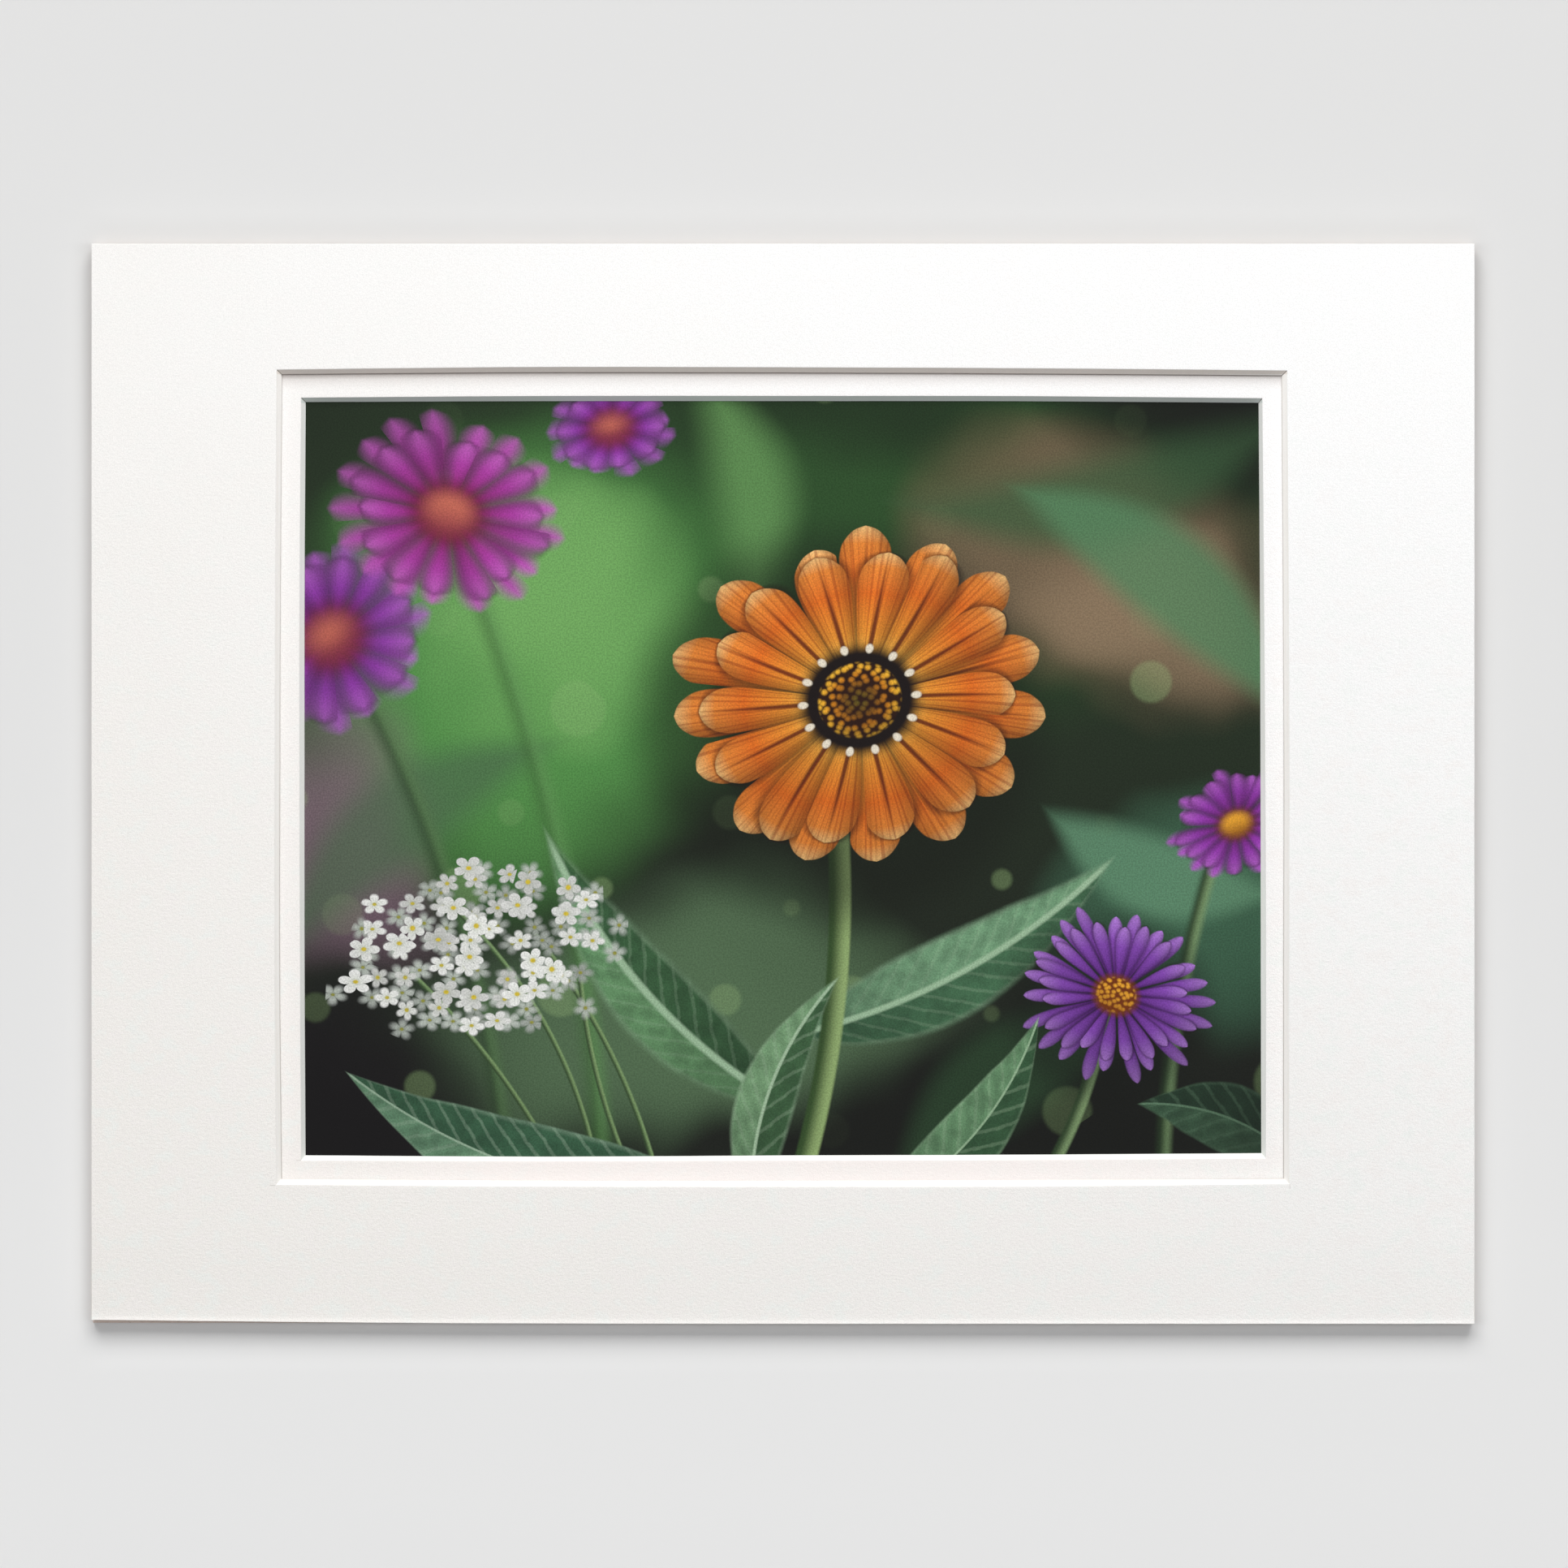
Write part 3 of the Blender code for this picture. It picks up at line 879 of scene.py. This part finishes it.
def picture(name):
    ink = Ink(name)
    ink.flat = ink.here((PRINT_CENTRE[0], PRINT_CENTRE[1], 0.0))
    ink.x, ink.y, _ = ink.split(ink.flat)

    ink.mottle, _ = ink.noise(ink.flat, 0.21, 3.0, 0.6, dims="2D")

    # -- far background: soft patches of light and shade, with wandering borders
    _, drift = ink.noise(ink.flat, 0.016, 2.0, 0.5, dims="2D")
    drift_x, drift_y, _ = ink.split(drift)
    lx = ink.math("MULTIPLY_ADD", drift_x, 46.0, ink.math("ADD", ink.x, -23.0))
    ly = ink.math("MULTIPLY_ADD", drift_y, 46.0, ink.math("ADD", ink.y, -23.0))
    tone = ink.mix(ink.remap(ink.y, -100.0, 100.0), rgb(26, 30, 24), rgb(34, 52, 30))
    for at, size, turn, colour, opacity in (
        ((14, 62), (135, 62), 4, rgb(42, 78, 38), 0.95),
        ((-66, 26), (78, 66), 24, rgb(84, 146, 74), 0.98),
        ((-56, 44), (42, 36), 10, rgb(126, 182, 104), 0.7),
        ((78, 56), (66, 36), -28, rgb(118, 98, 76), 0.9),
        ((96, 40), (36, 22), -20, rgb(158, 134, 106), 0.55),
        ((-112, -14), (40, 50), 8, rgb(122, 98, 112), 0.85),
        ((-26, -62), (84, 38), 8, rgb(92, 122, 88), 0.8),
        ((112, -36), (46, 40), 0, rgb(66, 108, 82), 0.8),
        ((44, -92), (70, 34), 4, rgb(18, 20, 17), 0.9),
        ((122, 96), (62, 46), 0, rgb(14, 20, 12), 0.95),
        ((-124, -98), (62, 46), 0, rgb(18, 14, 18), 0.97),
        ((10, 98), (56, 22), 0, rgb(22, 40, 20), 0.75),
    ):
        tone = spot(ink, tone, at, size, turn, colour, opacity, 0.0, lx, ly)

    # -- out-of-focus foliage
    for base, tip, width, bend, soft, colour, opacity in (
        ((128, 92), (34, 70), 22, 0.10, 6.5, rgb(58, 92, 58), 0.8),
        ((130, 18), (62, 74), 24, -0.08, 4.5, rgb(86, 132, 92), 0.85),
        ((-20, 102), (-8, 44), 18, 0.12, 7.0, rgb(112, 166, 96), 0.6),
        ((-128, -44), (-62, 8), 22, 0.10, 6.0, rgb(74, 104, 74), 0.7),
        ((126, -30), (70, -10), 20, 0.1, 4.0, rgb(96, 142, 110), 0.85),
        ((30, -104), (92, -62), 24, 0.1, 5.0, rgb(40, 66, 42), 0.85),
    ):
        tone = far_leaf(ink, tone, base, tip, width, bend, soft, colour, opacity)

    # -- soft discs of light among them
    discs = ink.new("TexVoronoi", voronoi_dimensions="2D", feature="F1")
    ink.put(discs.inputs["Vector"], ink.flat)
    discs.inputs["Scale"].default_value = 1.0 / 26.0
    chance, chance2, _ = ink.split(discs.outputs["Color"])
    wide = ink.math("MULTIPLY_ADD", chance, 0.22, 0.06)
    ring = ink.remap(ink.math("SUBTRACT", wide, discs.outputs["Distance"]), -0.03, 0.03, 0.0, 0.20)
    ring = ink.math("MULTIPLY", ring, ink.remap(chance2, 0.45, 0.9))
    tone = ink.mix(ring, tone, rgb(170, 205, 140))

    # -- violet asters, far out of focus, top left
    violet = [(0.0, rgb(98, 18, 92)), (0.3, rgb(128, 34, 140)), (0.65, rgb(158, 62, 184)), (1.0, rgb(186, 100, 206))]
    magenta = [(0.0, rgb(110, 10, 60)), (0.35, rgb(150, 34, 122)), (0.7, rgb(178, 62, 168)), (1.0, rgb(200, 100, 196))]
    eye_far = (rgb(120, 26, 60), rgb(204, 110, 90))
    tone = stalk(ink, tone, (-86, 66), (-46, -116), 4.4, 0.05, 3.0, rgb(64, 104, 54), rgb(96, 146, 84), 0.7)
    tone = stalk(ink, tone, (-114, 34), (-70, -116), 4.0, 0.06, 2.4, rgb(44, 66, 40), rgb(84, 118, 74), 0.8)
    tone = aster(ink, tone, (-44, 90), 17, 0.8, 12, 13, 4.2, violet, eye_far, 3.0)
    tone = aster(ink, tone, (-116, 36), 27, 0.9, 33, 15, 5.0, violet, eye_far, 11.0)
    tone = aster(ink, tone, (-86, 68), 32, 0.84, -14, 17, 3.6, magenta, eye_far, 21.0)

    # -- asters at the right, nearer the plane of focus
    near_violet = [(0.0, rgb(70, 22, 96)), (0.3, rgb(106, 44, 148)), (0.7, rgb(142, 78, 190)), (1.0, rgb(182, 130, 220))]
    eye_near = (rgb(116, 52, 10), rgb(240, 170, 50))
    tone = stalk(ink, tone, (112, -18), (98, -110), 3.4, -0.04, 1.2, rgb(44, 66, 40), rgb(120, 150, 104))
    tone = aster(ink, tone, (117, -12), 19, 0.78, 20, 17, 1.7, violet, eye_near, 31.0)
    tone = stalk(ink, tone, (84, -56), (62, -112), 3.2, 0.06, 0.5, rgb(50, 72, 44), rgb(132, 160, 112))

    # -- leaves behind the main bloom
    sage_low, sage_high, sage_rib = rgb(70, 112, 80), rgb(120, 164, 126), rgb(166, 198, 164)
    tone = leaf(ink, tone, (4, -66), (84, -22), 21, -0.07, 1.3, sage_low, sage_high, sage_rib, 0.16)
    tone = leaf(ink, tone, (0, -84), (-60, -16), 20, 0.08, 1.6, rgb(58, 96, 62), rgb(104, 150, 104), sage_rib, 0.14)

    # -- the main bloom's stem and the bloom
    tone = stalk(ink, tone, (14, -8), (2, -112), 5.6, 0.05, 0.5, rgb(52, 78, 40), rgb(146, 172, 112))
    at, size, squash, turn = (20.0, 20.0), 52.0, 0.9, 16
    tone = spot(ink, tone, (at[0] - 5, at[1] - 7), (60, 57), 0, rgb(16, 20, 12), 0.62, 0.5)
    x, y, r, turns = flower(ink, at, size, squash, turn)
    lit = light_on(ink, y, turns, turn, 0.66)
    orange = [
        (0.0, rgb(60, 18, 6)), (0.20, rgb(120, 40, 8)), (0.30, rgb(255, 196, 84)), (0.45, rgb(255, 164, 56)),
        (0.72, rgb(246, 122, 34)), (0.90, rgb(252, 150, 60)), (1.0, rgb(255, 206, 134)),
    ]
    rust, ember = rgb(96, 26, 8), rgb(150, 46, 14)
    tone = ring_of_petals(
        ink, tone, r, turns, size, 15, 0.0, 1.0, 0.28, DAISY, orange, 5.0,
        uneven=0.14, sway=0.22, hollow=0.4, stripe=(0.9, 0.13, rust, 0.85), streaks=(0.45, ember),
        thin=0.14, lit=lit,
    )
    tone = ring_of_petals(
        ink, tone, r, turns, size, 14, 0.45, 0.88, 0.24, DAISY, orange, 17.0,
        uneven=0.14, sway=0.24, hollow=0.34, cast=3.6, stripe=(0.95, 0.15, rust, 0.9), streaks=(0.45, ember),
        thin=0.12, lit=lit,
    )
    # dark ring at the petals' feet, with pale flecks
    tone = ink.mix(ink.remap(r, 0.34, 0.25), tone, rgb(22, 12, 12))
    q14 = ink.math("MULTIPLY_ADD", turns, 14 / (2 * math.pi), 0.45)
    f14 = ink.math("MULTIPLY", ink.math("SUBTRACT", q14, ink.math("ROUND", q14)), 2.0 * math.pi / 14 * 0.28 * size)
    fleck = square(ink, f14, ink.math("MULTIPLY_ADD", r, size * 0.75, -0.283 * size * 0.75))
    tone = ink.mix(ink.remap(fleck, 1.5, 0.4), tone, rgb(236, 226, 206))
    # the eye: tight golden florets round a dark green-brown middle
    bead = ink.remap(beads(ink, at, size, squash, turn, 27.0), 0.62, 0.12)
    gold = ink.ramp(
        r,
        [(0.0, rgb(92, 84, 24)), (0.08, rgb(120, 78, 20)), (0.14, rgb(206, 128, 26)), (0.2, rgb(250, 190, 56))],
    )
    eye = ink.mix(bead, rgb(44, 18, 6), gold)
    eye = ink.mix(ink.remap(y, 0.02, -0.2, 0.0, 0.5), eye, rgb(40, 16, 6))
    tone = ink.mix(ink.remap(r, 0.215, 0.195), tone, eye)

    # -- the sharp aster at the lower right
    tone = spot(ink, tone, (84, -59), (31, 28), 0, rgb(14, 18, 14), 0.5, 0.4)
    tone = aster(ink, tone, (86, -56), 27, 0.86, -20, 23, 0.3, near_violet, eye_near, 41.0)

    # -- small white florets at the lower left, on thin stalks
    for a, b, bend in (
        ((-64, -40), (-30, -112), 0.06),
        ((-84, -34), (-46, -112), 0.09),
        ((-96, -50), (-52, -112), 0.05),
        ((-52, -52), (-34, -112), -0.05),
    ):
        tone = stalk(ink, tone, a, b, 1.3, bend, 0.3, rgb(54, 76, 46), rgb(128, 158, 106))
    petal_white = [(0.0, rgb(206, 214, 190)), (0.35, rgb(236, 238, 232)), (1.0, rgb(252, 252, 250))]
    shadow_white = [(0.0, rgb(150, 160, 140)), (0.35, rgb(186, 194, 184)), (1.0, rgb(206, 212, 206))]
    tone = florets(ink, tone, 7.0, 2.0, (-76, -45), (43, 27), 12, 3.4, 5, 1.3, shadow_white, rgb(150, 150, 70), 1.0)
    tone = florets(ink, tone, 7.8, 5.0, (-78, -43), (38, 24), 12, 3.7, 5, 0.5, petal_white, rgb(196, 180, 70), 0.95)
    tone = florets(ink, tone, 10.5, 9.0, (-76, -41), (38, 24), 12, 4.6, 5, 0.22, petal_white, rgb(214, 190, 60), 0.95)

    # -- leaves in front
    tone = leaf(ink, tone, (-14, -108), (-112, -76), 25, 0.09, 0.35, rgb(62, 104, 76), rgb(116, 160, 126), rgb(176, 206, 178), 0.26)
    tone = leaf(ink, tone, (24, -112), (66, -62), 17, -0.1, 0.4, rgb(56, 92, 62), rgb(108, 150, 110), rgb(160, 192, 156), 0.24)
    tone = leaf(ink, tone, (-8, -112), (14, -52), 15, 0.1, 0.7, rgb(64, 100, 66), rgb(124, 164, 122), rgb(172, 200, 168), 0.2)
    tone = leaf(ink, tone, (132, -98), (92, -84), 18, -0.1, 0.5, rgb(40, 66, 48), rgb(70, 104, 78), rgb(110, 146, 116), 0.24)

    # -- darker towards the corners, then the paper's own grain
    corner = square(ink, *local(ink, (0, 6), 0, (168, 142)))
    tone = ink.mix(ink.remap(corner, 0.38, 1.2, 0.0, 0.62), tone, rgb(12, 12, 12))
    grain, _ = ink.noise(ink.flat, 2.3, 1.0, 0.7, dims="2D")
    tone = dim(ink, tone, ink.remap(grain, 0.27, 0.73, 0.74, 1.0))
    ink.put(ink.shader.inputs["Base Color"], tone)
    ink.shader.inputs["Roughness"].default_value = 0.5
    ink.shader.inputs["Specular IOR Level"].default_value = 0.16
    lustre, _ = ink.noise(ink.flat, 2.1, 1.0, 0.5, dims="2D")
    ink.put(ink.shader.inputs["Normal"], ink.bump(lustre, 0.12, 0.00004))
    return ink.material


# ======================================================================================
# The pieces
# ======================================================================================

HALF_W, HALF_H = 177.8, 138.85


def lower_edge(inset):
    """The hand-trimmed lower edge of the mats: it climbs towards the left."""
    rise = smooth_table([1.03, 0.56, 0.20, 0.05, 0.0, 0.0, 0.0, 0.0, 0.0])
    return lambda t: -HALF_H + inset + rise(t)


def outline(inset):
    return Loop(
        lambda t: -HALF_W + inset,
        lambda t: HALF_W - inset,
        lower_edge(inset),
        lambda t: HALF_H - inset,
    )


top_window = table_loop(
    left=[-130.24, -130.69, -130.68, -130.52, -130.14],
    right=[130.10, 130.09, 130.18, 129.97, 129.62],
    bottom=[-103.03, -103.50, -103.57, -103.50, -102.82],
    top=[106.47, 107.13, 107.07, 106.80, 106.24],
)
top_foot = Loop(
    lambda t: top_window.sides["left"](t) + 1.26,
    lambda t: top_window.sides["right"](t) - 1.35,
    lambda t: top_window.sides["bottom"](t) + smooth_table([1.38, 1.38, 1.42, 1.58, 1.32])(t),
    lambda t: top_window.sides["top"](t) - smooth_table([1.20, 1.38, 1.38, 1.40, 1.28])(t),
)
bottom_window = table_loop(
    left=[-123.88, -124.15, -124.30, -124.28, -123.88],
    right=[124.10, 124.19, 123.99, 123.65, 123.23],
    bottom=[-96.81, -97.03, -96.85, -96.70, -96.30],
    top=[99.27, 99.68, 99.71, 99.65, 99.12],
    depth=1.65,
)
bottom_foot = table_loop(
    left=[-122.75, -122.98, -123.00, -122.98, -122.70],
    right=[122.95, 122.83, 122.76, 122.60, 122.26],
    bottom=[-95.50, -95.82, -95.52, -95.32, -94.95],
    top=[98.16, 98.38, 98.40, 98.36, 97.96],
    depth=3.1,
)

# both mats' top cuts get a painted shade; the inner core's faint green and its greener top cut are painted reflection
# of the print's greens
core = cut_core("mat_core", (255, 253, 250), 3.65, (105.2, (241, 233, 226)))
inner_core = cut_core("inner_mat_core", (250, 252, 249), None, (97.9, (228, 235, 231)))
edge = cut_core("mat_outer_edge", (238, 235, 229))
mitre = cut_core("mat_mitre", (158, 152, 146))
paper_back = plain_paper("mat_back_paper", (240, 238, 232), 0.9)
window_mat(
    "top_mat_fine",
    "top_mat",
    outline(0.0),
    top_window,
    top_foot,
    3.65,
    FACE_Z,
    [
        mat_face(
            "mat_face_paper",
            (254, 254, 254),
            1.0,
            ticks=((-131.2, -103.2, 0.75, 0.14), (130.3, -103.5, 0.14, 0.6)),
        ),
        core,
        paper_back,
        edge,
        mitre,
    ],
    1.0,
)
window_mat(
    "bottom_mat_fine",
    "bottom_mat",
    outline(0.12),
    bottom_window,
    bottom_foot,
    2.0,
    3.45,
    [
        mat_face(
            "mat_inner_paper",
            (255, 254, 254),
            2.0,
            ticks=((-124.6, -96.85, 0.65, 0.14),),
            shaded=105.3,
        ),
        inner_core,
        paper_back,
        edge,
        mitre,
    ],
    2.0,
)

print_w, print_h = 254.0, 203.2
px, py = PRINT_CENTRE
print_back = plain_paper("print_back", (238, 239, 240), 0.6)
sheet_mesh(
    "photo_print_fine",
    "photo_print",
    px - print_w / 2,
    px + print_w / 2,
    py - print_h / 2,
    py + print_h / 2,
    1.70,
    1.95,
    [picture("print_picture"), print_back],
    nx=40,
    ny=32,
    round_edge=0.05,
    corner=0.25,
    front=0,
    side=1,
    back=1,
    uv=True,
)
# the board's front is drawn paler than its back: painted light, as the strip of it that shows lies in the mats' shadow
sheet_mesh(
    "backing_board_fine",
    "backing_board",
    -HALF_W,
    HALF_W,
    -HALF_H,
    HALF_H,
    0.0,
    1.5,
    [tan_board("tan_board_front", (226, 206, 196), (240, 222, 212)), tan_board("tan_board_back", (193, 173, 156), (199, 180, 163))],
    nx=90,
    ny=70,
    round_edge=0.12,
    corner=0.25,
    fray=0.05,
    seed=4.0,
    back=1,
)

tape = plain_paper("tape_paper", (214, 205, 182), 0.55)
foam = plain_paper("foam_tape", (226, 224, 216), 0.7)
hinge = plain_paper("hinge_paper", (232, 226, 210), 0.9, (1.2, 0.5, 1.0))

x_out, y_out = HALF_W - 9.0, HALF_H - 9.0
for node, box, z0, z1, mat in (
    ("mat_tape_top", (-x_out, x_out, y_out - 12.0, y_out), 3.50, 3.60, tape),
    ("mat_tape_bottom", (-x_out, x_out, -y_out, -y_out + 12.0), 3.50, 3.60, tape),
    ("board_tape_top", (-x_out, x_out, y_out - 8.0, y_out), 1.55, 1.95, foam),
    ("board_tape_bottom", (-x_out, x_out, -y_out, -y_out + 12.0), 1.55, 1.95, foam),
):
    sheet_mesh(
        node + "_fine", node, *box, z0, z1, [mat], nx=60, ny=20, round_edge=0.02, corner=0.0, teeth=0.7
    )
y_in = y_out - 16.0
for node, x0 in (("mat_tape_left", -x_out), ("mat_tape_right", x_out - 12.0)):
    sheet_mesh(
        node + "_fine", node, x0, x0 + 12.0, -y_in, y_in, 3.50, 3.60, [tape],
        nx=12, ny=60, round_edge=0.02, corner=0.0, fray=0.08, seed=7.0,
    )
tab_low = py + print_h / 2 - 14.0
strip_low = py + print_h / 2 + 3.0
for word, sign in (("left", -1), ("right", 1)):
    cx = px + sign * 72.0
    sheet_mesh(
        "hinge_tab_" + word + "_fine", "hinge_tab_" + word, cx - 12.5, cx + 12.5, tab_low,
        tab_low + 29.5, 1.55, 1.65, [hinge], nx=40, ny=46, round_edge=0.02, corner=1.5,
        fray=0.16, seed=9.0 + sign,
    )
    sheet_mesh(
        "hinge_strip_" + word + "_fine", "hinge_strip_" + word, cx - 29.0, cx + 29.0, strip_low,
        strip_low + 14.0, 1.70, 1.80, [hinge], nx=80, ny=22, round_edge=0.02, corner=1.5,
        fray=0.16, seed=13.0 + sign,
    )

# ======================================================================================
# Floor, light and camera
# ======================================================================================

floor_ink = Ink("floor")
floor_p = floor_ink.here()
floor_x, floor_y, _ = floor_ink.split(floor_p)
# painted shade and light: the floor is drawn darker towards the key and paler away from it, so that it looks evenly
# lit
floor_tone = floor_ink.ramp(
    floor_ink.remap(floor_y, -400.0, 400.0, 0.0, 1.0, "LINEAR"),
    [(0.0, (0.868, 0.868, 0.868, 1)), (0.27, (0.862, 0.862, 0.862, 1)), (0.5, (0.76, 0.76, 0.76, 1)), (0.73, (0.693, 0.693, 0.693, 1)), (1.0, (0.632, 0.632, 0.632, 1))],
)
# painted shade beyond the far edge, where the mats' edge throws light on the floor, and painted light at the near
# shadow's end
side = floor_ink.remap(floor_ink.math("ABSOLUTE", floor_x), 184.0, 172.0)
painted_far_shade = floor_ink.math("MULTIPLY", floor_ink.remap(floor_y, 148.5, 139.5, 0.0, 0.13), floor_ink.remap(floor_y, 80.0, 120.0))
painted_near_light = floor_ink.math("MULTIPLY", floor_ink.remap(floor_y, -143.5, -146.5), floor_ink.remap(floor_y, -153.0, -147.5))
floor_tone = floor_ink.mix(floor_ink.math("MULTIPLY", side, painted_far_shade), floor_tone, BLACK)
floor_tone = floor_ink.mix(floor_ink.math("MULTIPLY", floor_ink.math("MULTIPLY", side, painted_near_light), 0.22), floor_tone, (0.97, 0.97, 0.97, 1.0))
floor_ink.put(floor_ink.shader.inputs["Base Color"], floor_tone)
floor_ink.shader.inputs["Roughness"].default_value = 1.0
floor_ink.shader.inputs["Specular IOR Level"].default_value = 0.0
bpy.ops.mesh.primitive_plane_add(size=12.0, location=(0, 0, -0.00005))
floor = bpy.context.object
floor.name = "floor"
floor.data.materials.append(floor_ink.material)

world = bpy.data.worlds.new("studio")
scene.world = world
world.use_nodes = True
world.node_tree.nodes["Background"].inputs["Color"].default_value = (0.97, 0.985, 1.0, 1)
world.node_tree.nodes["Background"].inputs["Strength"].default_value = 0.125


def softbox(name, at, size, energy, colour):
    data = bpy.data.lights.new(name, "AREA")
    data.shape = "RECTANGLE"
    data.size, data.size_y = size
    data.energy = energy
    data.color = colour
    ob = bpy.data.objects.new(name, data)
    ob.location = at
    ob.rotation_euler = (-Vector(at)).to_track_quat("-Z", "Y").to_euler()
    ob.visible_camera = False
    scene.collection.objects.link(ob)


# the key comes from beyond the picture's top, 43 degrees up, and two weaker ones stand at its sides
softbox("key", (-0.02, 1.46, 1.386), (2.0, 1.3), 43.4, (1.0, 0.993, 0.98))
softbox("side_left", (-1.2, 0.0, 2.1), (0.8, 1.6), 10.3, (0.985, 0.99, 1.0))
softbox("side_right", (1.2, 0.0, 2.1), (0.8, 1.6), 10.7, (0.985, 0.99, 1.0))

camera_data = bpy.data.cameras.new("camera")
camera_data.lens = 150.0
camera_data.sensor_width = 36.0
camera_data.sensor_fit = "HORIZONTAL"
camera_data.clip_start = 0.05
camera_data.clip_end = 20.0
camera = bpy.data.objects.new("camera", camera_data)
camera.location = (0.26 * MM, -0.04 * MM, (FACE_Z + CAMERA_UP) * MM)
scene.collection.objects.link(camera)
scene.camera = camera

scene.view_settings.view_transform = "Standard"
scene.view_settings.look = "None"
